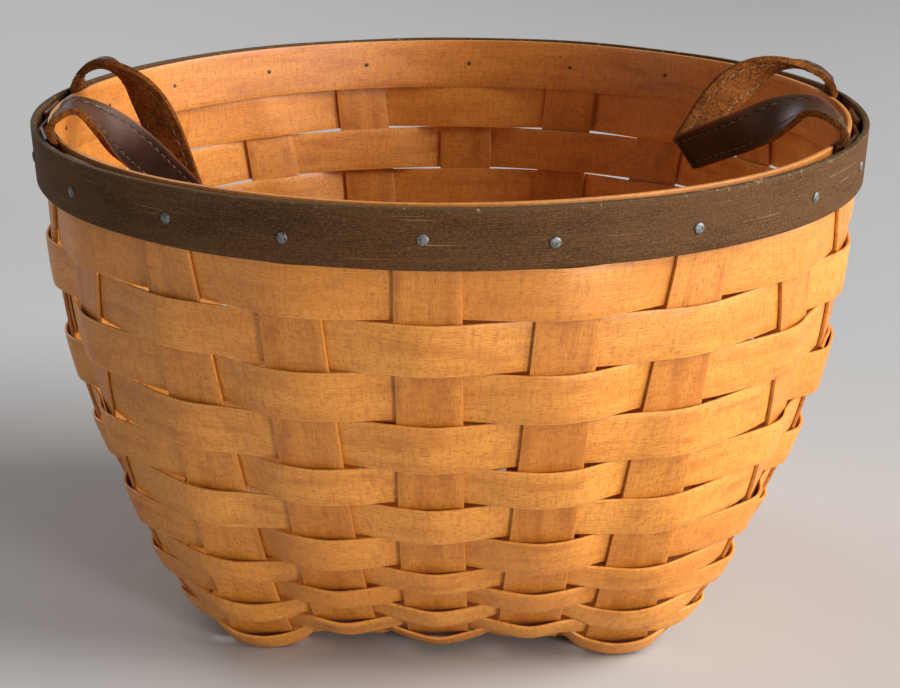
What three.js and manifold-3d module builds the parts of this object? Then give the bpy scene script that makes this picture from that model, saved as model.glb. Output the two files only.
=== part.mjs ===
// Round work basket woven from flat wood splints, with banded rim and two drooping leather ears
// Millimetres and degrees, Z up, front towards -Y, origin on the floor under the middle of the rim
import * as THREE from "three";
import { mergeVertices } from "three/addons/utils/BufferGeometryUtils.js";
import Module from "manifold-3d";

const wasm = await Module();
wasm.setup();

// Rim bands
const RIM_RADIUS = 220;
const BAND_HEIGHT = 29;
const OUTER_BAND_THICKNESS = 3;
const INNER_BAND_THICKNESS = 2.3;
const BAND_TAPER = 1.7;
const BAND_LAP_STEPS = 2;
const BAND_LAP_PLAY = 0.12;
const FEATHER = 0.6;
const OUTER_BAND_FACETS = 2;
const INNER_BAND_FACETS = 4;

// Splints: each runs rim, base, rim in one piece and is an upright at both ends
const SPLINTS_EACH_WAY = 5;
const UPRIGHT_WIDTH = 31;
const UPRIGHT_THICKNESS = 1.8;
const UPRIGHT_TOP_INSET = 1.5;
const BASE_EDGE_MARGIN = 3;
const BASE_BEND_RADIUS = 12;

// Weavers: rows of rings from the band down, wide ones above and narrow ones below
const WEAVER_THICKNESS = 1.4;
const WIDE_ROWS = 4;
const WIDE_PITCH = 26;
const MIDDLE_ROWS = 3;
const MIDDLE_PITCH = 22;
const NARROW_ROWS = 5;
const NARROW_PITCH = 16;
const ROW_GAP = 0.7;
const BULGE = 1.3;
const LOW_BULGE = 3.4;
const BULGE_POWER = 2;
const INNER_BULGE = 0.5;
const PAST_EDGE = 0.8;
const RIM_WEAVER_INSET = 2.5;
const BARE_BELOW_ROWS = 4;

// Where rings and bands begin: uprights away from the corners, passed outside by that row
const ROW_STARTS = [9, 10, 15, 4, 5, 14];
const RIM_WEAVER_START = 10;
const OUTER_BAND_START = 10;
const INNER_BAND_START = -3;

// Play between pieces that rest on each other
const CLEARANCE = 0.35;
const LAP_CLEARANCE = 0.42;

// Lean of the wall from upright: at the band, more all the way down, and more again near the base
const LEAN_AT_BAND = 2.5;
const LEAN_DOWN_WALL = 35;
const LEAN_NEAR_BASE = 24;
const BASE_LEAN_POWER = 5;
const PROFILE_PARTS = 20;

// The round rim turns into a square base: how early each upright leaves the circle
const MIDDLE_UPRIGHT_POWER = 1.4;
const CORNER_UPRIGHT_POWER = 0.7;
const TURN_POWER = 0.85;

// The base stands on its four corners
const MIDDLE_LIFT = 7.5;
const EDGE_FALL = 2.5;
const SETTLE_POWER = 3;

// Tacks
const TACK_HEAD_RADIUS = 2.7;
const TACK_HEAD_HEIGHT = 0.9;
const TACK_SHANK_RADIUS = 0.9;
const TACK_CLINCH_RADIUS = 1.4;
const TACK_CLINCH_HEIGHT = 0.5;
const TACK_SIDES = 6;
const DRILL_LENGTH = 18;
const TACK_DOME = { radius: 0.6, height: 0.8 };

// Leather ears
const STRAP_WIDTH = 21;
const STRAP_THICKNESS = 3.4;
const TAB_THICKNESS = 1.2;
const TAB_LENGTH = 24;
const RIGHT_EAR_FROM_FRONT = 86;
const LEFT_EAR_FROM_FRONT = 84;
const EAR_HALF_SPREAD = 17.5;
const HINGE_ABOVE_RIM = 6.2;
const HINGE_PLAY = 0.8;
const STRAND_STEPS = 12;
const ROOT_TURN = 0.8;
const ROUND_END_BENDS = [75, 40];

// Droop of each ear from its hinge: how far in and how high each strand's crest and middle lie,
// the share of the strand over which it turns on edge, and the fold that the two strands share
const RIGHT_DROOP = {
  front: {
    rise: { inward: 4, above: 5 },
    crest: { inward: 17, spread: 56, above: 9 },
    middle: { inward: 50, spread: 37, above: -8 },
    turnedBy: 0.75,
  },
  back: {
    rise: { inward: 6, above: 5 },
    crest: { inward: 21, spread: 56, above: 10 },
    middle: { inward: 54, spread: 29, above: 2 },
    turnedBy: 0.9,
  },
  fold: { inward: 76, above: -26, tilt: 34 },
};
const LEFT_DROOP = {
  front: {
    rise: { inward: 4, above: 5 },
    crest: { inward: 12, spread: 61, above: 8 },
    middle: { inward: 37, spread: 40, above: -15 },
    turnedBy: 0.8,
  },
  back: {
    rise: { inward: 6, above: 5 },
    crest: { inward: 19, spread: 50, above: 8 },
    middle: { inward: 42, spread: 28, above: -8 },
    turnedBy: 0.9,
  },
  fold: { inward: 61, above: -51, tilt: 46 },
};

// Derived layout of the rim, from the outer band inwards
const UPRIGHTS = 4 * SPLINTS_EACH_WAY;
const STEP = 360 / UPRIGHTS;
const MIDDLE_SPLINT = (SPLINTS_EACH_WAY - 1) / 2;
const LAYER_OFFSET = UPRIGHT_THICKNESS / 2 + CLEARANCE + WEAVER_THICKNESS / 2;
const LAP_OFFSET = WEAVER_THICKNESS + LAP_CLEARANCE;
const OUTER_BAND_INSIDE = RIM_RADIUS - OUTER_BAND_THICKNESS;
const RIM_UPRIGHT_RADIUS = OUTER_BAND_INSIDE - CLEARANCE - WEAVER_THICKNESS / 2 - LAYER_OFFSET;
const INNER_BAND_OUTSIDE = RIM_UPRIGHT_RADIUS - LAYER_OFFSET - WEAVER_THICKNESS / 2 - CLEARANCE;
const REACH = UPRIGHT_WIDTH / 2 + PAST_EDGE;

const PITCHES = [
  ...Array(WIDE_ROWS).fill(WIDE_PITCH),
  ...Array(MIDDLE_ROWS).fill(MIDDLE_PITCH),
  ...Array(NARROW_ROWS).fill(NARROW_PITCH),
];
const ROWS = PITCHES.length;
const WALL_LENGTH = PITCHES.reduce((a, b) => a + b, 0) + BARE_BELOW_ROWS;

const rad = THREE.MathUtils.degToRad;
const vec = (x, y, z) => new THREE.Vector3(x, y, z);

function wallLean(run) {
  const u = run / WALL_LENGTH;
  return rad(LEAN_AT_BAND + LEAN_DOWN_WALL * u + LEAN_NEAR_BASE * u ** BASE_LEAN_POWER);
}

// Middle of the upright at the front, followed down the wall: reach from the axis and depth below
function wallProfile() {
  const start = { reach: RIM_UPRIGHT_RADIUS - BAND_TAPER, depth: 0 };
  const stops = [start];
  let { reach, depth } = start;
  let run = 0;
  for (const pitch of [...PITCHES, BARE_BELOW_ROWS]) {
    const length = pitch / PROFILE_PARTS;
    for (let i = 0; i < PROFILE_PARTS; i++) {
      const lean = wallLean(run + length / 2);
      reach -= Math.sin(lean) * length;
      depth += Math.cos(lean) * length;
      run += length;
    }
    stops.push({ reach, depth });
  }
  const last = wallLean(WALL_LENGTH);
  for (const lean of [(last + Math.PI / 2) / 2, Math.PI / 2]) {
    stops.push({
      reach: reach - BASE_BEND_RADIUS * (Math.cos(last) - Math.cos(lean)),
      depth: depth + BASE_BEND_RADIUS * (Math.sin(lean) - Math.sin(last)),
    });
  }
  return stops;
}

const PROFILE = wallProfile();
const BASE_REACH = PROFILE.at(-1).reach;
const WALL_DEPTH = PROFILE.at(-1).depth;
const BASE_SPACING = (BASE_REACH - BASE_EDGE_MARGIN - UPRIGHT_WIDTH / 2) / MIDDLE_SPLINT;

// Height of the base where splints i and j cross, halfway between the two
function baseLevel(i, j) {
  const x = ((i - MIDDLE_SPLINT) / MIDDLE_SPLINT) ** 2;
  const y = ((j - MIDDLE_SPLINT) / MIDDLE_SPLINT) ** 2;
  const corner = UPRIGHT_THICKNESS + CLEARANCE / 2;
  return corner + MIDDLE_LIFT - EDGE_FALL * (x + y) - (MIDDLE_LIFT - 2 * EDGE_FALL) * x * y;
}

// Splint i of either set where it crosses splint j of the other set
function crossingHeight(i, j, lowAtCorner) {
  const low = (i + j) % 2 === 0 ? lowAtCorner : !lowAtCorner;
  const half = (UPRIGHT_THICKNESS + CLEARANCE) / 2;
  return baseLevel(i, j) + (low ? -half : half);
}

const EDGE_HEIGHT = baseLevel(MIDDLE_SPLINT, 0);
const RIM_HEIGHT = EDGE_HEIGHT + WALL_DEPTH + BAND_HEIGHT;
const BAND_BOTTOM = RIM_HEIGHT - BAND_HEIGHT;

// Stops of upright k from the rim down: its middle, its width direction and the way it faces
// Upright 0 is at the middle of the front, and they are counted towards +X
function uprightStops(k) {
  const side = Math.floor((k + MIDDLE_SPLINT) / SPLINTS_EACH_WAY);
  const place = k - side * SPLINTS_EACH_WAY;
  const angle = rad(place * STEP);
  const power = Math.abs(place) < MIDDLE_SPLINT ? MIDDLE_UPRIGHT_POWER : CORNER_UPRIGHT_POWER;
  const frontOrBack = side % 2 === 0;
  const settle = crossingHeight(MIDDLE_SPLINT + place, 0, frontOrBack) - EDGE_HEIGHT;
  const turn = new THREE.Matrix4().makeRotationZ((side * Math.PI) / 2);
  const stops = [
    {
      middle: vec(
        RIM_UPRIGHT_RADIUS * Math.sin(angle),
        -RIM_UPRIGHT_RADIUS * Math.cos(angle),
        RIM_HEIGHT - UPRIGHT_TOP_INSET,
      ),
      across: vec(Math.cos(angle), Math.sin(angle), 0),
    },
  ];
  for (const { reach, depth } of PROFILE) {
    const up = 1 - depth / WALL_DEPTH;
    const start = PROFILE[0].reach;
    const pull = start * (1 - Math.cos(angle)) * Math.max(up, 0) ** power;
    const x = THREE.MathUtils.lerp(place * BASE_SPACING, start * Math.sin(angle), up);
    const facing = angle * Math.max(up, 0) ** TURN_POWER;
    stops.push({
      middle: vec(x, -(reach - pull), BAND_BOTTOM - depth + settle * (1 - up) ** SETTLE_POWER),
      across: vec(Math.cos(facing), Math.sin(facing), 0),
    });
  }
  for (const stop of stops) {
    stop.middle.applyMatrix4(turn);
    stop.across.applyMatrix4(turn);
  }
  return stops;
}

const WALLS = Array.from({ length: UPRIGHTS }, (_, k) => uprightStops(k));
const wrap = (k) => ((k % UPRIGHTS) + UPRIGHTS) % UPRIGHTS;

// A closed body through cross-sections that list their corners the same way round
function loft(sections) {
  const corners = sections[0].length;
  const positions = sections.flat().flatMap((p) => [p.x, p.y, p.z]);
  const index = [];
  for (let i = 0; i + 1 < sections.length; i++) {
    for (let j = 0; j < corners; j++) {
      const a = i * corners + j;
      const b = i * corners + ((j + 1) % corners);
      index.push(a, b, b + corners, a, b + corners, a + corners);
    }
  }
  const end = (sections.length - 1) * corners;
  for (let j = 1; j + 1 < corners; j++) {
    index.push(0, j + 1, j);
    index.push(end, end + j, end + j + 1);
  }
  const geometry = new THREE.BufferGeometry();
  geometry.setAttribute("position", new THREE.Float32BufferAttribute(positions, 3));
  geometry.setIndex(index);
  if (volumeOf(geometry) < 0) geometry.setIndex(index.reverse());
  return geometry;
}

function volumeOf(geometry) {
  const p = geometry.getAttribute("position");
  const at = (i) => vec(p.getX(i), p.getY(i), p.getZ(i));
  const index = geometry.index.array;
  let sum = 0;
  for (let i = 0; i < index.length; i += 3) {
    sum += at(index[i]).dot(at(index[i + 1]).cross(at(index[i + 2])));
  }
  return sum / 6;
}

function toSolid(geometry) {
  const bare = geometry.clone();
  bare.deleteAttribute("normal");
  bare.deleteAttribute("uv");
  const merged = mergeVertices(bare, 1e-4);
  const vertProperties = new Float32Array(merged.getAttribute("position").array);
  const triVerts = new Uint32Array(merged.index.array);
  return new wasm.Manifold(new wasm.Mesh({ numProp: 3, vertProperties, triVerts }));
}

function toGeometry(solid) {
  const mesh = solid.getMesh();
  const geometry = new THREE.BufferGeometry();
  geometry.setAttribute("position", new THREE.BufferAttribute(mesh.vertProperties.slice(), 3));
  geometry.setIndex(new THREE.BufferAttribute(mesh.triVerts.slice(), 1));
  return geometry;
}

// A flat strip along centre points, each with its width direction, bent with even thickness
function strip(points, thickness) {
  const facings = points.slice(1).map((p, i) => {
    const along = p.middle.clone().sub(points[i].middle);
    const across = p.across.clone().add(points[i].across);
    return along.cross(across).normalize();
  });
  const sections = points.map((p, i) => {
    const a = facings[Math.max(i - 1, 0)];
    const b = facings[Math.min(i, facings.length - 1)];
    const mitre = a.clone().add(b).multiplyScalar(1 / (1 + a.dot(b)));
    const half = mitre.multiplyScalar((p.thickness ?? thickness) / 2);
    const side = p.across.clone().multiplyScalar(p.halfWidth);
    const left = p.middle.clone().sub(side);
    const right = p.middle.clone().add(side);
    return [
      left.clone().sub(half),
      right.clone().sub(half),
      right.clone().add(half),
      left.clone().add(half),
    ];
  });
  return loft(sections);
}

// Point on the middle surface of upright k, between its stops n and n + 1, and the way it faces
function onUpright(k, n, fraction, sideways) {
  const stops = WALLS[wrap(k)];
  const at = (stop) => stop.middle.clone().addScaledVector(stop.across, sideways);
  const a = at(stops[n]);
  const b = at(stops[n + 1]);
  const across = stops[n].across.clone().add(stops[n + 1].across);
  const facing = b.clone().sub(a).cross(across).normalize();
  return { point: a.lerp(b, fraction), facing };
}

// One base splint with the uprights at its two ends
function splint(i, frontToBack) {
  const place = i - MIDDLE_SPLINT;
  const near = frontToBack ? place : SPLINTS_EACH_WAY + place;
  const far = frontToBack ? 2 * SPLINTS_EACH_WAY - place : 3 * SPLINTS_EACH_WAY - place;
  const flat = UPRIGHT_WIDTH / 2 + CLEARANCE;
  const halfWidth = UPRIGHT_WIDTH / 2;
  const points = WALLS[wrap(near)].map((s) => ({ ...s, halfWidth }));
  const across = frontToBack ? vec(1, 0, 0) : vec(0, 1, 0);
  const along = frontToBack ? vec(0, 1, 0) : vec(-1, 0, 0);
  for (let j = 0; j < SPLINTS_EACH_WAY; j++) {
    const centre = (j - MIDDLE_SPLINT) * BASE_SPACING;
    const z = frontToBack ? crossingHeight(i, j, true) : crossingHeight(i, j, false);
    for (const run of [centre - flat, centre + flat]) {
      const middle = across.clone().multiplyScalar(place * BASE_SPACING);
      middle.addScaledVector(along, run).setZ(z);
      points.push({ middle, across, halfWidth });
    }
  }
  const back = WALLS[wrap(far)].map((s) => ({
    middle: s.middle,
    across: s.across.clone().negate(),
    halfWidth,
  }));
  points.push(...back.reverse());
  return strip(points, UPRIGHT_THICKNESS);
}

// Lower and upper edge of a weaver of row n where it passes upright k
function weaverStop(k, row, sideways, offset) {
  const pitch = row === 0 ? BAND_HEIGHT - UPRIGHT_TOP_INSET : PITCHES[row - 1];
  const inset = (row === 0 ? RIM_WEAVER_INSET : ROW_GAP / 2) / pitch;
  const top = onUpright(k, row, inset, sideways);
  const bottom = onUpright(k, row, 1 - inset, sideways);
  top.point.addScaledVector(top.facing, offset);
  bottom.point.addScaledVector(bottom.facing, offset);
  const across = top.point.clone().sub(bottom.point);
  return {
    middle: top.point.add(bottom.point).multiplyScalar(0.5),
    halfWidth: across.length() / 2,
    across: across.normalize(),
  };
}

// One ring of the weave, with its two ends lapped behind and inside neighbouring uprights
function weaver(row, firstUpright) {
  const low = Math.max((row - 1) / (ROWS - 1), 0) ** BULGE_POWER;
  const bulge = row === 0 ? 0 : THREE.MathUtils.lerp(BULGE, LOW_BULGE, low);
  const points = [];
  const pass = (k, edge, middle) => {
    points.push(weaverStop(k, row, -REACH, edge));
    points.push(weaverStop(k, row, 0, middle));
    points.push(weaverStop(k, row, REACH, edge));
  };
  const out = LAYER_OFFSET;
  const far = out + LAP_OFFSET;
  pass(firstUpright, out, out);
  if (row === 0) {
    for (let n = 1; n < UPRIGHTS - 1; n++) {
      if (n % 2 === 0) pass(firstUpright + n, out, out);
      else pass(firstUpright + n, -out, -out);
    }
    points.push(weaverStop(firstUpright - 1, row, -REACH, -out));
    points.push(weaverStop(firstUpright - 1, row, 0, -out));
    return strip(points, WEAVER_THICKNESS);
  }
  pass(firstUpright + 1, -far, -far);
  for (let n = 2; n < UPRIGHTS; n++) {
    if (n % 2 === 0) pass(firstUpright + n, out, out + bulge);
    else pass(firstUpright + n, -out, -out - bulge * INNER_BULGE);
  }
  pass(firstUpright, far, far + bulge * INNER_BULGE);
  pass(firstUpright + 1, -out, -out);
  return strip(points, WEAVER_THICKNESS);
}

// A rim band: one strip whose feathered ends lap, with its corners at the given radii
// The first corner lies half a facet past upright `first`
function band(inside, outside, facetsEach, first) {
  const corners = facetsEach * UPRIGHTS;
  const lap = BAND_LAP_STEPS;
  const sections = [];
  const corner = (n, radius, height) => {
    const angle = rad((n + 0.5) * (STEP / facetsEach) + first * STEP);
    return vec(radius * Math.sin(angle), -radius * Math.cos(angle), height);
  };
  const split = (n) => {
    const share = n / lap;
    return THREE.MathUtils.lerp(inside + FEATHER, outside - FEATHER, share);
  };
  const section = (n, from, to) => {
    const lean = BAND_TAPER;
    sections.push([
      corner(n, from, RIM_HEIGHT),
      corner(n, to, RIM_HEIGHT),
      corner(n, to - lean, BAND_BOTTOM),
      corner(n, from - lean, BAND_BOTTOM),
    ]);
  };
  for (let n = 0; n <= lap; n++) section(n, inside, split(n) - CLEARANCE / 2);
  section(lap + BAND_LAP_PLAY, inside, outside);
  for (let n = lap + 1; n < corners; n++) section(n, inside, outside);
  section(corners - BAND_LAP_PLAY, inside, outside);
  for (let n = 0; n <= lap; n++) section(corners + n, split(n) + CLEARANCE / 2, outside);
  return loft(sections);
}

// A tack, head outwards, along local +X
function tack() {
  const inner = INNER_BAND_OUTSIDE - INNER_BAND_THICKNESS - CLEARANCE;
  const outer = RIM_RADIUS + CLEARANCE;
  const lean = BAND_TAPER / 2;
  const outline = [
    [0, outer + TACK_HEAD_HEIGHT],
    [TACK_HEAD_RADIUS * TACK_DOME.radius, outer + TACK_HEAD_HEIGHT * TACK_DOME.height],
    [TACK_HEAD_RADIUS, outer],
    [TACK_SHANK_RADIUS, outer],
    [TACK_SHANK_RADIUS, inner],
    [TACK_CLINCH_RADIUS, inner],
    [TACK_CLINCH_RADIUS, inner - TACK_CLINCH_HEIGHT],
    [0, inner - TACK_CLINCH_HEIGHT],
  ];
  const profile = outline.map(([r, y]) => new THREE.Vector2(r, y - lean)).reverse();
  return new THREE.LatheGeometry(profile, TACK_SIDES).rotateZ(-Math.PI / 2);
}

// Where tack k goes: on its upright, halfway up the bands
function placeAtTack(object, k) {
  object.position.set(0, 0, RIM_HEIGHT - BAND_HEIGHT / 2);
  object.rotation.z = rad(k * STEP - 90);
  object.updateMatrixWorld(true);
  return object;
}

function tackHoles() {
  const radius = (TACK_SHANK_RADIUS + CLEARANCE) / Math.cos(Math.PI / TACK_SIDES);
  const drill = new THREE.CylinderGeometry(radius, radius, DRILL_LENGTH, TACK_SIDES);
  drill.rotateZ(-Math.PI / 2).translate((RIM_RADIUS + INNER_BAND_OUTSIDE) / 2, 0, 0);
  const holes = WALLS.map((_, k) => {
    const place = placeAtTack(new THREE.Object3D(), k);
    return toSolid(drill.clone().applyMatrix4(place.matrixWorld));
  });
  return holes.reduce((a, b) => a.add(b));
}

const HOLES = tackHoles();
const drilled = (geometry) => toGeometry(toSolid(geometry).subtract(HOLES));

// Leather ears: local +X points out from the middle of the basket, local Z is 0 at the rim top
const TAB_MIDDLE = INNER_BAND_OUTSIDE + CLEARANCE + TAB_THICKNESS / 2;
const STRAP_MIDDLE = INNER_BAND_OUTSIDE + CLEARANCE + STRAP_THICKNESS / 2;
const HINGE_OUT = STRAP_MIDDLE * Math.cos(rad(EAR_HALF_SPREAD));
const HINGE_SIDE = STRAP_MIDDLE * Math.sin(rad(EAR_HALF_SPREAD));

// The part of the strap that the rim holds, up to the bend that it swings on, with room to swing
function strapRoot(side) {
  const angle = side * rad(EAR_HALF_SPREAD);
  const top = HINGE_ABOVE_RIM - STRAP_THICKNESS / 2 - HINGE_PLAY;
  const slant = BAND_TAPER / BAND_HEIGHT;
  const stop = (radius, z, turn, thickness) => ({
    middle: vec(radius * Math.cos(angle), radius * Math.sin(angle), z),
    across: vec(-Math.sin(angle * turn), Math.cos(angle * turn), 0),
    halfWidth: STRAP_WIDTH / 2,
    thickness,
  });
  return strip(
    [
      stop(TAB_MIDDLE - TAB_LENGTH * slant, -TAB_LENGTH, 1, TAB_THICKNESS),
      stop(TAB_MIDDLE, 0, 1, TAB_THICKNESS),
      stop(STRAP_MIDDLE, STRAP_THICKNESS / 2, ROOT_TURN, STRAP_THICKNESS),
      stop(STRAP_MIDDLE, top, 0, STRAP_THICKNESS),
    ],
    STRAP_THICKNESS,
  );
}

// A strand on the -Y side of an ear, from its hinge to the fold, as a curve
function strandCurve(strand, fold) {
  const { rise, crest, middle } = strand;
  const half = STRAP_THICKNESS / 2 + CLEARANCE;
  return new THREE.CatmullRomCurve3([
    vec(HINGE_OUT, -HINGE_SIDE, HINGE_ABOVE_RIM),
    vec(HINGE_OUT - rise.inward, -HINGE_SIDE, HINGE_ABOVE_RIM + rise.above),
    vec(HINGE_OUT - crest.inward, -crest.spread, HINGE_ABOVE_RIM + crest.above),
    vec(HINGE_OUT - middle.inward, -middle.spread, HINGE_ABOVE_RIM + middle.above),
    vec(HINGE_OUT - fold.inward, -half, HINGE_ABOVE_RIM + fold.above),
  ]);
}

// Stops of the strap along that strand, which turns on edge on its way to the fold
function strandStops(strand, fold) {
  const curve = strandCurve(strand, fold);
  const tilt = rad(fold.tilt);
  const atRoot = vec(0, -1, 0);
  const atFold = vec(Math.sin(tilt), 0, -Math.cos(tilt));
  const half = STRAP_THICKNESS / 2;
  const stop = (middle, tangent, turn, thickness) => {
    const across = atRoot.clone().lerp(atFold, turn);
    across.addScaledVector(tangent, -across.dot(tangent)).normalize();
    const facing = tangent.clone().cross(across);
    return { middle, across, facing, thickness };
  };
  const stops = [];
  const start = curve.getTangent(0);
  for (const bend of ROUND_END_BENDS) {
    const back = start.clone().multiplyScalar(-half * Math.sin(rad(bend)));
    const end = curve.getPoint(0).add(back);
    stops.push(stop(end, start, 0, STRAP_THICKNESS * Math.cos(rad(bend))));
  }
  for (let n = 0; n <= STRAND_STEPS; n++) {
    const u = n / STRAND_STEPS;
    const turn = THREE.MathUtils.smoothstep(u, 0, strand.turnedBy);
    stops.push(stop(curve.getPointAt(u), curve.getTangentAt(u), turn, STRAP_THICKNESS));
  }
  return stops;
}

// The loop of the ear: a strap that turns on edge along each strand and folds at the middle
function strapLoop(first, second, fold) {
  const toFold = strandStops(first, fold);
  const mirror = (v) => vec(v.x, -v.y, v.z);
  const fromFold = strandStops(second, fold).map((s) => ({
    middle: mirror(s.middle),
    across: mirror(s.across),
    facing: mirror(s.facing),
    thickness: s.thickness,
  }));
  const last = toFold.at(-1);
  const heading = last.across.clone().cross(last.facing).setY(0).normalize();
  const tip = last.middle.clone().setY(0).addScaledVector(heading, STRAP_THICKNESS / 2 + CLEARANCE);
  const bend = { middle: tip, across: last.across, facing: heading, thickness: STRAP_THICKNESS };
  const sections = [...toFold, bend, ...fromFold.reverse()].map((s) => {
    const w = s.across.clone().multiplyScalar(STRAP_WIDTH / 2);
    const t = s.facing.clone().multiplyScalar(s.thickness / 2);
    return [
      s.middle.clone().sub(w).sub(t),
      s.middle.clone().add(w).sub(t),
      s.middle.clone().add(w).add(t),
      s.middle.clone().sub(w).add(t),
    ];
  });
  return loft(sections);
}

const finish = {
  upright: { color: 0xc98a4b, roughness: 0.6, metalness: 0 },
  weaver: { color: 0xd89a58, roughness: 0.6, metalness: 0 },
  outerBand: { color: 0x4a3526, roughness: 0.65, metalness: 0 },
  innerBand: { color: 0xcf8d4c, roughness: 0.55, metalness: 0 },
  leather: { color: 0x3b1f17, roughness: 0.5, metalness: 0 },
  steel: { color: 0x8b8d8e, roughness: 0.4, metalness: 0.9 },
};

function piece(name, geometry, look) {
  const mesh = new THREE.Mesh(geometry, new THREE.MeshStandardMaterial(look));
  mesh.name = name;
  return mesh;
}

const two = (n) => String(n).padStart(2, "0");
const basket = new THREE.Group();

for (let i = 0; i < SPLINTS_EACH_WAY; i++) {
  basket.add(piece(`splint_front_back_${i + 1}`, drilled(splint(i, true)), finish.upright));
  basket.add(piece(`splint_left_right_${i + 1}`, drilled(splint(i, false)), finish.upright));
}

for (let row = 1; row <= ROWS; row++) {
  const start = ROW_STARTS[(row - 1) % ROW_STARTS.length];
  basket.add(piece(`weaver_${two(row)}`, weaver(row, start), finish.weaver));
}
basket.add(piece("rim_weaver", drilled(weaver(0, RIM_WEAVER_START)), finish.weaver));

// The outer band's facets lie flat over the uprights; the inner band stays within its radius
const over = 1 / Math.cos(rad(STEP / OUTER_BAND_FACETS / 2));
const outerInside = OUTER_BAND_INSIDE * over;
const outerBand = band(outerInside, RIM_RADIUS * over, OUTER_BAND_FACETS, OUTER_BAND_START);
const innerInside = INNER_BAND_OUTSIDE - INNER_BAND_THICKNESS;
const innerBand = band(innerInside, INNER_BAND_OUTSIDE, INNER_BAND_FACETS, INNER_BAND_START);
basket.add(piece("outer_band", drilled(outerBand), finish.outerBand));
basket.add(piece("inner_band", drilled(innerBand), finish.innerBand));

for (let k = 0; k < UPRIGHTS; k++) {
  basket.add(placeAtTack(piece(`rim_tack_${two(k + 1)}`, tack(), finish.steel), k));
}

for (const [name, droop, turn] of [
  ["right", RIGHT_DROOP, RIGHT_EAR_FROM_FRONT - 90],
  ["left", LEFT_DROOP, 270 - LEFT_EAR_FROM_FRONT],
]) {
  const frontSide = name === "right" ? -1 : 1;
  const strands = [droop.front, droop.back];
  if (frontSide > 0) strands.reverse();
  const ear = new THREE.Group();
  ear.position.z = RIM_HEIGHT;
  ear.rotation.z = rad(turn);
  ear.add(piece(`${name}_handle_loop`, strapLoop(...strands, droop.fold), finish.leather));
  ear.add(piece(`${name}_handle_front_tab`, strapRoot(frontSide), finish.leather));
  ear.add(piece(`${name}_handle_back_tab`, strapRoot(-frontSide), finish.leather));
  basket.add(ear);
}

export default basket;
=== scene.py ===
# %% [markdown]
# # A splint work basket
# The basket is woven from flat strips of wood. Ten long splints cross in a square base and turn
# up to be the twenty uprights of a round wall, and rings of thinner weavers run in and out of
# them. Two bands clamp the rim, with one tack through each upright, and a folded leather strap
# makes an ear on each side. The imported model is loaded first. It fixes every size, and each
# strip is then made again here, finely enough to carry its curves and its grain.

# %% Load the frame
import math
import random

import bpy
import numpy as np
from mathutils import Matrix, Vector


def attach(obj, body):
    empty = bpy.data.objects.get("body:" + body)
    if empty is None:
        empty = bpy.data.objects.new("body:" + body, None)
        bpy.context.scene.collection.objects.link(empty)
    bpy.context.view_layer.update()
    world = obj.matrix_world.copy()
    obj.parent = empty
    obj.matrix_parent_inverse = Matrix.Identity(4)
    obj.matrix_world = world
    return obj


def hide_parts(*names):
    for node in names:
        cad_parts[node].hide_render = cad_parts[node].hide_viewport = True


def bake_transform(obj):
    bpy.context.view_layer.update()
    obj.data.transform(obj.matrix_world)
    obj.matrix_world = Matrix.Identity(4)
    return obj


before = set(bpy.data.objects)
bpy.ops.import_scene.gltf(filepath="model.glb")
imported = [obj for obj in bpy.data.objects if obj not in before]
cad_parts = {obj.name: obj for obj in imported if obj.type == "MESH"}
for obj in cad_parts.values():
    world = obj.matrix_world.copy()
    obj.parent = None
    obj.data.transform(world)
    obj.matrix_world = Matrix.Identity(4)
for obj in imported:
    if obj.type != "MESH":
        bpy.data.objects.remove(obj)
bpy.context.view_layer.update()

# %% [markdown]
# The driving sizes are the ones that a basket maker works with: the widths and thicknesses of
# the splints, the pitch of the rows, and the radius of the rim. All lengths are in metres, so
# each millimetre value is multiplied by MM.

# %% Sizes
MM = 0.001

RIM_RADIUS = 220 * MM
BAND_HEIGHT = 29 * MM
OUTER_BAND_THICKNESS = 3 * MM
INNER_BAND_THICKNESS = 2.3 * MM
BAND_TAPER = 1.7 * MM

SPLINTS_EACH_WAY = 5
UPRIGHT_WIDTH = 31 * MM
UPRIGHT_THICKNESS = 1.8 * MM
UPRIGHT_TOP_INSET = 1.5 * MM
BASE_EDGE_MARGIN = 3 * MM
BASE_BEND_RADIUS = 12 * MM

WEAVER_THICKNESS = 1.4 * MM
PITCHES = [26 * MM] * 4 + [22 * MM] * 3 + [16 * MM] * 5
ROW_GAP = 0.7 * MM
BULGE = 2.0 * MM
LOW_BULGE = 3.5 * MM
BULGE_POWER = 2
INNER_BULGE = 0.5
PAST_EDGE = 0.8 * MM
RIM_WEAVER_INSET = 2.5 * MM
BARE_BELOW_ROWS = 4 * MM
ROW_STARTS = [9, 10, 15, 4, 5, 14]
RIM_WEAVER_START = 10

CLEARANCE = 0.35 * MM
LAP_CLEARANCE = 0.42 * MM

LEAN_AT_BAND = 2.5
LEAN_DOWN_WALL = 35
LEAN_NEAR_BASE = 24
BASE_LEAN_POWER = 5
MIDDLE_UPRIGHT_POWER = 1.4
CORNER_UPRIGHT_POWER = 0.7
TURN_POWER = 0.85
MIDDLE_LIFT = 7.5 * MM
EDGE_FALL = 2.5 * MM
SETTLE_POWER = 3

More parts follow.
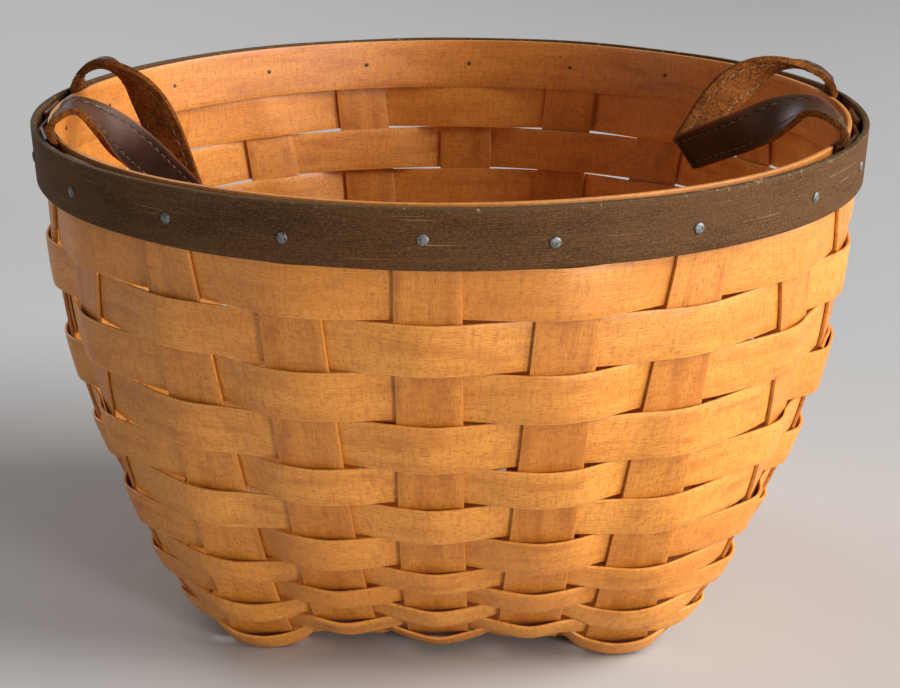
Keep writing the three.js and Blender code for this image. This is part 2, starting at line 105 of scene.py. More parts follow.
UPRIGHTS = 4 * SPLINTS_EACH_WAY
STEP = 2 * math.pi / UPRIGHTS
MIDDLE_SPLINT = (SPLINTS_EACH_WAY - 1) // 2
ROWS = len(PITCHES)
WALL_LENGTH = sum(PITCHES) + BARE_BELOW_ROWS
LAYER_OFFSET = UPRIGHT_THICKNESS / 2 + CLEARANCE + WEAVER_THICKNESS / 2
LAP_OFFSET = WEAVER_THICKNESS + LAP_CLEARANCE
OUTER_BAND_INSIDE = RIM_RADIUS - OUTER_BAND_THICKNESS
RIM_UPRIGHT_RADIUS = OUTER_BAND_INSIDE - CLEARANCE - WEAVER_THICKNESS / 2 - LAYER_OFFSET
INNER_BAND_OUTSIDE = RIM_UPRIGHT_RADIUS - LAYER_OFFSET - WEAVER_THICKNESS / 2 - CLEARANCE
REACH = UPRIGHT_WIDTH / 2 + PAST_EDGE

# %% [markdown]
# The wall leans further in as it goes down, so its outline is found by walking down it in short
# steps. The base is a square that stands on its four corners. Each upright starts square to the
# round rim and ends square to a straight edge of the base.

# %% The outline of the wall and the level of the base
PROFILE_PARTS = 20


def wall_lean(run):
    u = run / WALL_LENGTH
    degrees = LEAN_AT_BAND + LEAN_DOWN_WALL * u + LEAN_NEAR_BASE * u**BASE_LEAN_POWER
    return math.radians(degrees)


def wall_profile():
    """Reach from the axis and depth below the band, at each edge between rows and round the bend."""
    reach, depth, run = RIM_UPRIGHT_RADIUS - BAND_TAPER, 0.0, 0.0
    stops = [(reach, depth)]
    for pitch in PITCHES + [BARE_BELOW_ROWS]:
        length = pitch / PROFILE_PARTS
        for _ in range(PROFILE_PARTS):
            lean = wall_lean(run + length / 2)
            reach -= math.sin(lean) * length
            depth += math.cos(lean) * length
            run += length
        stops.append((reach, depth))
    last = wall_lean(WALL_LENGTH)
    for lean in ((last + math.pi / 2) / 2, math.pi / 2):
        stops.append((
            reach - BASE_BEND_RADIUS * (math.cos(last) - math.cos(lean)),
            depth + BASE_BEND_RADIUS * (math.sin(lean) - math.sin(last)),
        ))
    return stops


PROFILE = wall_profile()
BASE_REACH, WALL_DEPTH = PROFILE[-1]
BASE_SPACING = (BASE_REACH - BASE_EDGE_MARGIN - UPRIGHT_WIDTH / 2) / MIDDLE_SPLINT


def base_level(i, j):
    """Height of the base where splints i and j cross, halfway between the two."""
    x = ((i - MIDDLE_SPLINT) / MIDDLE_SPLINT) ** 2
    y = ((j - MIDDLE_SPLINT) / MIDDLE_SPLINT) ** 2
    corner = UPRIGHT_THICKNESS + CLEARANCE / 2
    return corner + MIDDLE_LIFT - EDGE_FALL * (x + y) - (MIDDLE_LIFT - 2 * EDGE_FALL) * x * y


def crossing_height(i, j, low_at_corner):
    low = low_at_corner if (i + j) % 2 == 0 else not low_at_corner
    half = (UPRIGHT_THICKNESS + CLEARANCE) / 2
    return base_level(i, j) + (-half if low else half)


EDGE_HEIGHT = base_level(MIDDLE_SPLINT, 0)
RIM_HEIGHT = EDGE_HEIGHT + WALL_DEPTH + BAND_HEIGHT
BAND_BOTTOM = RIM_HEIGHT - BAND_HEIGHT

# %% [markdown]
# A strip is followed by stops: a point on its middle line and the direction of its width. Both
# are kept as one row of six numbers, so that one function can smooth a whole route.

# %% Where each upright runs


def turned(vector, angle):
    c, s = math.cos(angle), math.sin(angle)
    return np.array([c * vector[0] - s * vector[1], s * vector[0] + c * vector[1], vector[2]])


def upright_stops(k):
    """Rows of middle point and width direction down upright k, counted from the front towards +X."""
    side = (k + MIDDLE_SPLINT) // SPLINTS_EACH_WAY
    place = k - side * SPLINTS_EACH_WAY
    angle = place * STEP
    power = MIDDLE_UPRIGHT_POWER if abs(place) < MIDDLE_SPLINT else CORNER_UPRIGHT_POWER
    settle = crossing_height(MIDDLE_SPLINT + place, 0, side % 2 == 0) - EDGE_HEIGHT
    top = [RIM_UPRIGHT_RADIUS * math.sin(angle), -RIM_UPRIGHT_RADIUS * math.cos(angle)]
    stops = [([*top, RIM_HEIGHT - UPRIGHT_TOP_INSET], angle)]
    start = PROFILE[0][0]
    for reach, depth in PROFILE:
        up = max(1 - depth / WALL_DEPTH, 0)
        pull = start * (1 - math.cos(angle)) * up**power
        x = place * BASE_SPACING * (1 - up) + start * math.sin(angle) * up
        z = BAND_BOTTOM - depth + settle * (1 - up) ** SETTLE_POWER
        stops.append(([x, -(reach - pull), z], angle * up**TURN_POWER))
    quarter = side * math.pi / 2
    return np.array([
        [*turned(middle, quarter), *turned([math.cos(facing), math.sin(facing), 0], quarter)]
        for middle, facing in stops
    ])


WALLS = [upright_stops(k) for k in range(UPRIGHTS)]
print("uprights:", len(WALLS), "with", len(WALLS[0]), "stops each")

# %% [markdown]
# ## Bending a strip
# A real splint is cut flat and then bent. The same is done here: a grid primitive is the flat
# strip, and each of its columns of vertices is moved to its place on a smooth route. Solidify
# gives it thickness and Bevel takes the sharpness off its edges. A stack of boxes would be
# quicker, but it would not bend, and a wood strip that bends softly is what makes a weave read.

# %% Smooth routes


def smooth(rows, steps):
    """Rows laid along a smooth curve through the given rows, with so many steps in each span."""
    rows = np.asarray(rows, float)
    gaps = np.sqrt(np.linalg.norm(np.diff(rows[:, :3], axis=0), axis=1))
    slopes = np.diff(rows, axis=0) / gaps[:, None]
    inner = slopes[:-1] * gaps[1:, None] + slopes[1:] * gaps[:-1, None]
    inner /= (gaps[:-1] + gaps[1:])[:, None]
    tangents = np.vstack([slopes[:1], inner, slopes[-1:]])
    made = []
    for n, gap in enumerate(gaps):
        t = (np.arange(steps) / steps)[:, None]
        made.append(
            (2 * t**3 - 3 * t**2 + 1) * rows[n] + (3 * t**2 - 2 * t**3) * rows[n + 1]
            + gap * ((t**3 - 2 * t**2 + t) * tangents[n] + (t**3 - t**2) * tangents[n + 1])
        )
    return np.vstack([*made, rows[-1:]])


def unit(vectors):
    return vectors / np.linalg.norm(vectors, axis=-1, keepdims=True)


def run_along(middles):
    """How far along the route each row is."""
    steps = np.linalg.norm(np.diff(middles, axis=0), axis=1)
    return np.concatenate([[0], np.cumsum(steps)])


def facings(middles, across):
    """The way that a strip faces at each row of its route."""
    return unit(np.cross(np.gradient(middles, axis=0), across))


# %% [markdown]
# Blender's operators act on whatever is selected, so a piece is picked out alone before each one.
# Modifiers are applied straight away, because a finished piece keeps its shape in its mesh.

# %% The operators that are used again and again


def deselect_all():
    if bpy.context.object and bpy.context.object.mode != "OBJECT":
        bpy.ops.object.mode_set(mode="OBJECT")
    bpy.ops.object.select_all(action="DESELECT")


def select_only(piece):
    deselect_all()
    piece.select_set(True)
    bpy.context.view_layer.objects.active = piece


def apply_modifier(piece, kind, **settings):
    select_only(piece)
    modifier = piece.modifiers.new(kind.title(), kind)
    for name, value in settings.items():
        setattr(modifier, name, value)
    bpy.ops.object.modifier_apply(modifier=modifier.name)


def name_piece(piece, name):
    piece.name = name
    piece.data.name = name
    return piece


# %% [markdown]
# One function makes every strip. Its width wavers a little, as a split piece of wood does, and each
# strip gets its own stretch of grain and its own tone. Three things are left on the mesh for the
# materials: a UV map in metres along the grain, "rim", which is 1 at the long edges, and "tone".

# %% A strip of wood or leather
GRAIN_APART = 1.7
ANY_TURN = 6.3
TONE_WAVER = 0.5
BEVEL_OVER = math.radians(50)
SMOOTH_UNDER = math.radians(40)


def waver(length, size, seed):
    """A slow uneven line, as a knife leaves along a splint: four waves laid over each other."""
    pick = random.Random(seed)
    waves = [
        (pick.uniform(15, 60), pick.uniform(0, ANY_TURN), pick.uniform(0.3, 1))
        for _ in range(4)
    ]
    return size * sum(a * np.sin(length * f + p) for f, p, a in waves) / 2


def strip(name, route, thickness, columns, seed, uneven=0.0, cup=0.0, edge=0.3 * MM, backs=0):
    """A bent strip. Each route row is a middle point, a width direction, half the width and a
    share of the full thickness. With backs, its back and its cut edges get material slots of
    their own."""
    middles, half, share = route[:, :3], route[:, 6], route[:, 7]
    across = unit(route[:, 3:6])
    facing = facings(middles, across)
    run = run_along(middles)
    upper = half + waver(run, uneven, seed)
    lower = half + waver(run, uneven, seed + 0.5)
    deselect_all()
    bpy.ops.mesh.primitive_grid_add(x_subdivisions=len(route) - 1, y_subdivisions=columns, size=1)
    piece = name_piece(bpy.context.object, name)
    mesh = piece.data
    flat = np.array([v.co for v in mesh.vertices])
    along = np.rint((flat[:, 0] + 0.5) * (len(route) - 1)).astype(int)
    side = flat[:, 1] * 2
    out = np.where(side > 0, upper[along], lower[along]) * side
    places = middles[along] + across[along] * out[:, None]
    places += facing[along] * (cup * (0.5 - side**2))[:, None]
    mesh.vertices.foreach_set("co", places.ravel())
    grain = np.stack([run[along] + seed * GRAIN_APART, out + seed], axis=1)
    layer = mesh.uv_layers.active.data
    corners = np.array([loop.vertex_index for loop in mesh.loops])
    layer.foreach_set("uv", grain[corners].ravel())
    mesh.attributes.new("rim", "FLOAT", "POINT").data.foreach_set("value", np.abs(side))
    tone = random.Random(seed + 11).uniform(-1, 1) + waver(run, TONE_WAVER, seed + 7)
    mesh.attributes.new("tone", "FLOAT", "POINT").data.foreach_set("value", tone[along])
    group = piece.vertex_groups.new(name="share")
    for value in np.unique(share[along]):
        group.add(np.flatnonzero(share[along] == value).tolist(), float(value), "REPLACE")
    mesh.update()
    for _ in range(backs):
        mesh.materials.append(None)
    apply_modifier(
        piece, "SOLIDIFY", thickness=thickness, offset=0, vertex_group="share",
        material_offset=min(backs, 1), material_offset_rim=backs,
    )
    apply_modifier(
        piece, "BEVEL", width=edge, segments=2, limit_method="ANGLE", angle_limit=BEVEL_OVER,
    )
    piece.vertex_groups.clear()
    select_only(piece)
    bpy.ops.object.shade_smooth_by_angle(angle=SMOOTH_UNDER)
    return piece


# %% [markdown]
# ## Uprights and base
# A splint and both of its uprights are one strip of wood, so they are one piece here as well: down
# one wall, across the base over and under the other set, and up the far wall. A smooth route can
# dip a little under the floor, so no row's middle goes below half the wood's thickness.

# %% Splints
SPLINT_STEPS = 4
SPLINT_SEED = 20


def splint_route(i, front_to_back):
    place = i - MIDDLE_SPLINT
    near = place if front_to_back else SPLINTS_EACH_WAY + place
    far = (2 if front_to_back else 3) * SPLINTS_EACH_WAY - place
    across = np.array([1.0, 0, 0] if front_to_back else [0, 1.0, 0])
    along = np.array([0, 1.0, 0] if front_to_back else [-1.0, 0, 0])
    flat = UPRIGHT_WIDTH / 2 + CLEARANCE
    rows = list(WALLS[near % UPRIGHTS])
    for j in range(SPLINTS_EACH_WAY):
        for run in (-flat, flat):
            reach = (j - MIDDLE_SPLINT) * BASE_SPACING + run
            middle = across * place * BASE_SPACING + along * reach
            middle[2] = crossing_height(i, j, front_to_back)
            rows.append(np.concatenate([middle, across]))
    rows += [row * [1, 1, 1, -1, -1, -1] for row in WALLS[far % UPRIGHTS][::-1]]
    route = smooth(rows, SPLINT_STEPS)
    route[:, 2] = np.maximum(route[:, 2], UPRIGHT_THICKNESS / 2)
    size = np.tile([UPRIGHT_WIDTH / 2, 1.0], (len(route), 1))
    return np.hstack([route, size])


splints = []
for i in range(SPLINTS_EACH_WAY):
    for word, front_to_back in (("front_back", True), ("left_right", False)):
        name = f"splint_{word}_{i + 1}"
        route = splint_route(i, front_to_back)
        piece = strip(
            f"{name}_wood", route, UPRIGHT_THICKNESS,
            columns=6, seed=SPLINT_SEED + len(splints), uneven=0.25 * MM,
        )
        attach(piece, "basket")
        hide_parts(name)
        splints.append(piece)
print("splints:", len(splints), "with", len(splints[0].data.polygons), "faces each")

# %% [markdown]
# ## Weavers
# A weaver is pushed out where it passes an upright outside and pushed in where it passes inside.
# Odd rows go inside the uprights that even rows pass outside, which gives the checkered wall.
# Each ring starts under its own end, with a lap over two uprights. The rim's weaver lies under the
# bands and doesn't lap: its end stops short of its start.

# %% Weavers
WEAVER_STEPS = 5
RIM_WEAVER_STEPS = 4
WEAVER_SEED = 50


def on_upright(k, n, fraction, sideways):
    stops = WALLS[k % UPRIGHTS]
    a = stops[n, :3] + stops[n, 3:] * sideways
    b = stops[n + 1, :3] + stops[n + 1, 3:] * sideways
    facing = unit(np.cross(b - a, stops[n, 3:] + stops[n + 1, 3:]))
    return a + (b - a) * fraction, facing


def weaver_row(k, row, sideways, offset):
    pitch = BAND_HEIGHT - UPRIGHT_TOP_INSET if row == 0 else PITCHES[row - 1]
    inset = (RIM_WEAVER_INSET if row == 0 else ROW_GAP / 2) / pitch
    top, facing_top = on_upright(k, row, inset, sideways)
    bottom, facing_bottom = on_upright(k, row, 1 - inset, sideways)
    top = top + facing_top * offset
    bottom = bottom + facing_bottom * offset
    width = np.linalg.norm(top - bottom)
    return [*(top + bottom) / 2, *(top - bottom) / width, width / 2, 1.0]


def weaver_route(row, first):
    rows = []

    def passing(k, edge, middle):
        rows.append(weaver_row(k, row, -REACH, edge))
        rows.append(weaver_row(k, row, 0, middle))
        rows.append(weaver_row(k, row, REACH, edge))

    out = LAYER_OFFSET
    low = (max(row - 1, 0) / (ROWS - 1)) ** BULGE_POWER
    bulge = 0 if row == 0 else BULGE + (LOW_BULGE - BULGE) * low
    far = out + LAP_OFFSET
    passing(first, out, out)
    if row == 0:
        for n in range(1, UPRIGHTS - 1):
            level = out if n % 2 == 0 else -out
            passing(first + n, level, level)
        rows.append(weaver_row(first - 1, row, -REACH, -out))
        rows.append(weaver_row(first - 1, row, 0, -out))
        return smooth(rows, RIM_WEAVER_STEPS)
    passing(first + 1, -far, -far)
    for n in range(2, UPRIGHTS):
        if n % 2 == 0:
            passing(first + n, out, out + bulge)
        else:
            passing(first + n, -out, -out - bulge * INNER_BULGE)
    passing(first, far, far + bulge * INNER_BULGE)
    passing(first + 1, -out, -out)
    return smooth(rows, WEAVER_STEPS)


weavers = []
for row in range(ROWS + 1):
    first = ROW_STARTS[(row - 1) % len(ROW_STARTS)] if row else RIM_WEAVER_START
    name = f"weaver_{row:02d}" if row else "rim_weaver"
    route = weaver_route(row, first)
    piece = strip(
        f"{name}_wood", route, WEAVER_THICKNESS,
        columns=6, seed=WEAVER_SEED + row, uneven=0.3 * MM, cup=0.3 * MM,
    )
    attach(piece, "basket")
    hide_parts(name)
    weavers.append(piece)
print("weavers:", len(weavers), "with", len(weavers[-1].data.polygons), "faces each")

# %% [markdown]
# ## Rim bands
# Each band is one strip bent into a hoop, thinned at its two ends so that the lap stays flat. It
# leans in a little towards the bottom, as the wall under it does.

# %% Bands
BAND_LAP = STEP
BAND_STEPS = 4 * UPRIGHTS
OUTER_BAND_START = 10
INNER_BAND_START = -3
INNER_BAND_INSIDE = INNER_BAND_OUTSIDE - INNER_BAND_THICKNESS
LAP_THIN = 0.3
BAND_SMOOTHING = 3
BAND_SEED = 80


def band_route(inside, thickness, first):
    """The hoop's rows, thin and inside at its start, thin and outside at its end."""
    rows = []
    total = 2 * math.pi + BAND_LAP
    lap_steps = round(BAND_STEPS * BAND_LAP / (2 * math.pi))
    for n in range(BAND_STEPS + lap_steps + 1):
        turn = n / (BAND_STEPS + lap_steps) * total
        lap = min(turn / BAND_LAP, 1)
        end = max((turn - 2 * math.pi) / BAND_LAP, 0)
        share = LAP_THIN + (1 - LAP_THIN) * lap if turn < BAND_LAP else 1 - (1 - LAP_THIN) * end
        radius = inside + thickness * (share / 2 if turn < BAND_LAP else 1 - share / 2)
        angle = first * STEP + turn
        out = np.array([math.sin(angle), -math.cos(angle), 0])
        lean = np.array([*(out[:2] * BAND_TAPER / BAND_HEIGHT), 1.0])
        middle = out * (radius - BAND_TAPER / 2)
        middle[2] = RIM_HEIGHT - BAND_HEIGHT / 2
        rows.append([*middle, *lean, BAND_HEIGHT / 2, share])
    return smooth(rows, BAND_SMOOTHING)


bands = []
for name, inside, thickness, first in (
    ("outer_band", OUTER_BAND_INSIDE, OUTER_BAND_THICKNESS, OUTER_BAND_START),
    ("inner_band", INNER_BAND_INSIDE, INNER_BAND_THICKNESS, INNER_BAND_START),
):
    route = band_route(inside, thickness, first)
    piece = strip(
        f"{name}_wood", route, thickness,
        columns=8, seed=BAND_SEED + len(bands), uneven=0.2 * MM, edge=0.6 * MM,
    )
    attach(piece, "basket")
    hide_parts(name)
    bands.append(piece)
print("bands:", len(bands), "with", len(bands[0].data.polygons), "faces each")

# %% [markdown]
# ## Tacks
# A tack is a short cylinder whose ends are drawn out: a low domed head outside, and a tip that is
# hammered flat inside. One is modelled along the X axis with extrude and resize. Each step of an
# end is how far it goes out, in millimetres, and what its width is multiplied by.

# %% Model a tack
TACK_HEAD_RADIUS = 2.7 * MM
TACK_SHANK_RADIUS = 0.9 * MM
TACK_CLINCH_RADIUS = 1.1 * MM
TACK_PAST_RIM = 0.05 * MM
TACK_PAST_INNER_BAND = 0.1 * MM
TACK_SIDES = 24
TACK_SMOOTH_UNDER = math.radians(50)
HEAD_STEPS = ((0.3, 1), (0.3, 0.9), (0.2, 0.75), (0.1, 0.5))
CLINCH_STEPS = ((0.3, 1), (0.2, 0.7))


def select_end(piece, sign):
    """Only the cap of the tack that faces along X with this sign."""
    bpy.ops.object.mode_set(mode="EDIT")
    bpy.ops.mesh.select_mode(type="FACE")
    bpy.ops.mesh.select_all(action="DESELECT")
    bpy.ops.object.mode_set(mode="OBJECT")
    cap = max(piece.data.polygons, key=lambda face: sign * face.center.x)
    cap.select = True
    bpy.ops.object.mode_set(mode="EDIT")


def draw_out(shift, scale):
    """Extrude the selected cap along X and resize it."""
    bpy.ops.mesh.extrude_region_move(TRANSFORM_OT_translate={"value": (shift, 0, 0)})
    bpy.ops.transform.resize(value=(1, scale, scale))


def model_tack():
    inner = INNER_BAND_INSIDE - TACK_PAST_INNER_BAND
    outer = RIM_RADIUS + TACK_PAST_RIM
    deselect_all()
    bpy.ops.mesh.primitive_cylinder_add(
        vertices=TACK_SIDES, radius=TACK_SHANK_RADIUS, depth=outer - inner,
        location=((outer + inner) / 2, 0, 0), rotation=(0, math.pi / 2, 0),
    )
    piece = name_piece(bpy.context.object, "tack_model")
    bpy.ops.object.transform_apply(location=True, rotation=True, scale=True)
    select_end(piece, 1)
    draw_out(0, TACK_HEAD_RADIUS / TACK_SHANK_RADIUS)
    for shift, scale in HEAD_STEPS:
        draw_out(shift * MM, scale)
    bpy.ops.object.mode_set(mode="OBJECT")
    select_end(piece, -1)
    draw_out(0, TACK_CLINCH_RADIUS / TACK_SHANK_RADIUS)
    for shift, scale in CLINCH_STEPS:
        draw_out(-shift * MM, scale)
    bpy.ops.object.mode_set(mode="OBJECT")
    bpy.ops.object.shade_smooth_by_angle(angle=TACK_SMOOTH_UNDER)
    return piece


tack_model = model_tack()
print("one tack:", len(tack_model.data.polygons), "faces")

# %% [markdown]
# The tack is copied to each upright. They were driven by hand, so none stands quite in the middle.
# The seven in front are placed as they are in the photograph: each has its degrees round from the
# middle of its upright, and its millimetres below the middle of the band. Any tack is also up to
# TACK_ASTRAY millimetres to one side, and turned and tilted by chance.

# %% Tacks
TACK_SEED = 300
TACK_PLACES = {
    -3: (0.7, 2.2), -2: (2.3, 1.0), -1: (0.7, 2.3), 0: (-0.3, 0),
    1: (-3.0, 2.3), 2: (-2.3, 2.7), 3: (1.0, 1.8),
}
TACK_ASTRAY = 1.5
TACK_TILT = 0.05

tacks = []
for k in range(UPRIGHTS):
    pick = random.Random(TACK_SEED + k)
    piece = tack_model.copy()
    piece.data = tack_model.data.copy()
    bpy.context.scene.collection.objects.link(piece)
    name_piece(piece, f"rim_tack_{k + 1:02d}_steel")
    spin = Matrix.Rotation(pick.uniform(0, ANY_TURN), 4, "X")
    slope = math.atan(BAND_TAPER / BAND_HEIGHT)
    tilt = Matrix.Rotation(slope + pick.uniform(-TACK_TILT, TACK_TILT), 4, "Y")
    usual = (pick.uniform(-1, 1), 0)
    shift, below = TACK_PLACES.get(k if k < UPRIGHTS / 2 else k - UPRIGHTS, usual)
    place = Matrix.Rotation(k * STEP + math.radians(shift) - math.pi / 2, 4, "Z")
    height = RIM_HEIGHT - BAND_HEIGHT / 2 - below * MM
    drop = Matrix.Translation((0, pick.uniform(-TACK_ASTRAY, TACK_ASTRAY) * MM, height))
    lean = Matrix.Translation((-BAND_TAPER / 2, 0, 0))
    centre = Vector((RIM_RADIUS, 0, 0))
    about = Matrix.Translation(centre) @ tilt @ spin @ Matrix.Translation(-centre)
    piece.data.transform(place @ drop @ lean @ about)
    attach(piece, "basket")
    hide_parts(f"rim_tack_{k + 1:02d}")
    tacks.append(piece)
bpy.data.objects.remove(tack_model)
print("tacks:", len(tacks))

# %% [markdown]
# ## Leather ears
# Each ear is one strap. Its ends are thinned and held between the bands. It comes up out of the rim
# flat, turns on edge along each side, and folds at the middle, so that the smooth side of the leather
# is outside the fold and the rough side is inside it. The strap is one mesh from end to end.

# %% The strap's route
STRAP_WIDTH = 21 * MM
STRAP_THICKNESS = 3.4 * MM
TAB_THICKNESS = 1.2 * MM
TAB_LENGTH = 24 * MM
RIGHT_EAR_FROM_FRONT = 86
LEFT_EAR_FROM_FRONT = 84
EAR_HALF_SPREAD = math.radians(17.5)
HINGE_ABOVE_RIM = 6.2 * MM
TAB_MIDDLE = INNER_BAND_OUTSIDE + CLEARANCE + TAB_THICKNESS / 2
STRAP_MIDDLE = INNER_BAND_OUTSIDE + CLEARANCE + STRAP_THICKNESS / 2
HINGE_OUT = STRAP_MIDDLE * math.cos(EAR_HALF_SPREAD)
HINGE_SIDE = STRAP_MIDDLE * math.sin(EAR_HALF_SPREAD)
THIN_BELOW_RIM = 2 * MM
FOLD_BEND = STRAP_THICKNESS / 2 + CLEARANCE
FOLD_ANGLES = (30, 60, 90)
FOLD_NARROWS = [0.98, 0.95, 0.92, 0.9]
ROOT_STEPS = 6
STRAND_STEPS = 14

# Each strand: the places inward, outward and above its hinge that it passes, in millimetres, and
# the share of its length over which it turns on edge. The fold is shared by both strands.
RIGHT_DROOP = {
    "front": {"rise": (4, 5), "crest": (17, 56, 9), "middle": (50, 37, -8), "turned_by": 0.75},
    "back": {"rise": (6, 5), "crest": (21, 56, 10), "middle": (54, 29, 2), "turned_by": 0.9},
    "fold": (76, -26, 34),
}
LEFT_DROOP = {
    "front": {"rise": (4, 5), "crest": (12, 61, 8), "middle": (37, 40, -15), "turned_by": 0.8},
    "back": {"rise": (6, 5), "crest": (19, 50, 8), "middle": (42, 28, -8), "turned_by": 0.9},
    "fold": (61, -51, 46),
}


def half_ear(strand, fold):
    """Rows from the end of the strap to its fold, in the ear's own frame: +X points out."""
    rise_in, rise_up = strand["rise"]
    crest_in, crest_out, crest_up = strand["crest"]
    middle_in, middle_out, middle_up = strand["middle"]
    fold_in, fold_up, tilt = fold
    angle = EAR_HALF_SPREAD
    slant = BAND_TAPER / BAND_HEIGHT
    radial = np.array([math.cos(angle), -math.sin(angle), 0])
    root = [
        radial * (TAB_MIDDLE - TAB_LENGTH * slant) + [0, 0, -TAB_LENGTH],
        radial * TAB_MIDDLE + [0, 0, -THIN_BELOW_RIM],
        [HINGE_OUT, -HINGE_SIDE, STRAP_THICKNESS / 2],
    ]
    beyond = [
        [HINGE_OUT, -HINGE_SIDE, HINGE_ABOVE_RIM],
        [HINGE_OUT - rise_in * MM, -HINGE_SIDE, HINGE_ABOVE_RIM + rise_up * MM],
        [HINGE_OUT - crest_in * MM, -crest_out * MM, HINGE_ABOVE_RIM + crest_up * MM],
        [HINGE_OUT - middle_in * MM, -middle_out * MM, HINGE_ABOVE_RIM + middle_up * MM],
        [HINGE_OUT - fold_in * MM, -FOLD_BEND, HINGE_ABOVE_RIM + fold_up * MM],
    ]
    low = smooth(root + beyond[:1], ROOT_STEPS)[:-1]
    high = smooth(beyond, STRAND_STEPS)
    run = run_along(high)
    u = np.minimum(run / run[-1] / strand["turned_by"], 1)
    turn = (u * u * (3 - 2 * u))[:, None]
    at_rim = np.array([math.sin(-angle), -math.cos(angle), 0])
    at_hinge = np.array([0, -1.0, 0])
    at_fold = np.array([math.sin(math.radians(tilt)), 0, -math.cos(math.radians(tilt))])
    level = np.clip((low[:, 2:3] + THIN_BELOW_RIM) / (HINGE_ABOVE_RIM + THIN_BELOW_RIM), 0, 1)
    across_low = at_rim * (1 - level) + at_hinge * level
    across_high = at_hinge * (1 - turn) + at_fold * turn
    heading = high[-1] - high[-2]
    bend = []
    for degrees in FOLD_ANGLES:
        part = math.radians(degrees)
        ahead = unit(np.array([heading[0], 0, heading[2]])) * math.sin(part) * FOLD_BEND
        bend.append(high[-1] + ahead + [0, FOLD_BEND * (1 - math.cos(part)), 0])
    middles = np.vstack([low, high, bend])
    across = np.vstack([across_low, across_high, np.tile(at_fold, (len(FOLD_ANGLES), 1))])
    tangents = unit(np.gradient(middles, axis=0))
    across = unit(across - tangents * np.sum(across * tangents, axis=1, keepdims=True))
    thin = TAB_THICKNESS / STRAP_THICKNESS
    share = np.interp(middles[:, 2], [-THIN_BELOW_RIM, STRAP_THICKNESS / 2], [thin, 1])
    share[len(low):] = 1
    half = np.full(len(middles), STRAP_WIDTH / 2)
    half[-len(FOLD_NARROWS):] *= FOLD_NARROWS
    return np.column_stack([middles, across, half, share])


MIRRORED = [1, -1, 1, 1, -1, 1, 1, 1]


def ear_route(droop, first, second, turn):
    """The whole strap: up its first strand, round the fold and back down its second."""
    to_fold = half_ear(droop[first], droop["fold"])
    from_fold = half_ear(droop[second], droop["fold"])[:-1][::-1] * MIRRORED
    route = np.vstack([to_fold, from_fold])
    route[:, 2] += RIM_HEIGHT
    for row in route:
        row[:3] = turned(row[:3], turn)
        row[3:6] = turned(row[3:6], turn)
    return route


EAR_TURNS = {
    "right": math.radians(RIGHT_EAR_FROM_FRONT - 90),
    "left": math.radians(270 - LEFT_EAR_FROM_FRONT),
}
ear_routes = {
    "right": ear_route(RIGHT_DROOP, "front", "back", EAR_TURNS["right"]),
    "left": ear_route(LEFT_DROOP, "back", "front", EAR_TURNS["left"]),
}
print("rows in a strap:", len(ear_routes["right"]))

# %% [markdown]
# The hinge's way from start to end is inward and up, since straight up would leave the lowest corner of
# the fold behind when the ear is lifted. Its two ends are worked out, but nothing here uses them.

# %% Both straps
BEND_HEADING = unit(np.array([-8, 0, 5.5]))
BEND_BEFORE = 3.8 * MM
BEND_AFTER = 7 * MM
STRAP_SEED = 90


def blend_ear(piece, side):
    """Bake a piece of the ear's place into its mesh. The ends of the hinge are worked out but not used.
    """
    hinge = np.array([HINGE_OUT, 0, HINGE_ABOVE_RIM + RIM_HEIGHT])
    start = turned(hinge - BEND_HEADING * BEND_BEFORE, EAR_TURNS[side])
    end = turned(hinge + BEND_HEADING * BEND_AFTER, EAR_TURNS[side])
    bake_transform(piece)


straps = {}
for side, route in ear_routes.items():
    piece = strip(
        f"{side}_ear_strap", route, STRAP_THICKNESS,
        columns=12, seed=STRAP_SEED + len(straps), edge=0.7 * MM, backs=2,
    )
    nodes = [f"{side}_handle_{part}" for part in ("loop", "front_tab", "back_tab")]
    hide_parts(*nodes)
    straps[side] = piece
print("straps:", {side: len(piece.data.polygons) for side, piece in straps.items()})

# %% [markdown]
# The two rows of stitches are short lengths of thread, pulled a little into the leather. One is
# shaped from a sphere and copied along each row, on both faces of the strap.

# %% Stitches
STITCH_LENGTH = 4.6 * MM
STITCH_PITCH = 6 * MM
STITCH_WIDTH = 0.85 * MM
STITCH_FLATNESS = 0.8
STITCH_ROW = 6.6 * MM
STITCH_SINK = 0.05 * MM
STITCH_FREE_END = 26 * MM


def read_off(place, run, vectors):
    """One vector, read off between the rows at a place along the run."""
    return np.array([np.interp(place, run, vectors[:, c]) for c in range(3)])


def stitch_places(route):
    """A matrix for each stitch: its X along the row and its Z out of the leather."""
    middles, across = route[:, :3], route[:, 3:6]
    tracks = (middles, across, facings(middles, across))
    run = run_along(middles)
    depth = STRAP_THICKNESS / 2 - STITCH_SINK
    count = int((run[-1] - 2 * STITCH_FREE_END) / STITCH_PITCH)
    first = (run[-1] - (count - 1) * STITCH_PITCH) / 2
    for n in range(count):
        for row in (-STITCH_ROW, STITCH_ROW):
            for face in (-1, 1):
                at = first + n * STITCH_PITCH + (STITCH_PITCH / 2 if face < 0 else 0)
                spots, outs = [], []
                for reach in (-STITCH_LENGTH / 2, 0, STITCH_LENGTH / 2):
                    spot, side, out = (read_off(at + reach, run, track) for track in tracks)
                    spots.append(spot + side * row + out * face * depth)
                    outs.append(out)
                x = unit(spots[2] - spots[0])
                z = unit(outs[1] * face - x * np.dot(outs[1], x) * face)
                y = np.cross(z, x)
                axes_and_place = np.column_stack([x, y, z, spots[1]])
                yield Matrix([*axes_and_place.tolist(), [0, 0, 0, 1]])


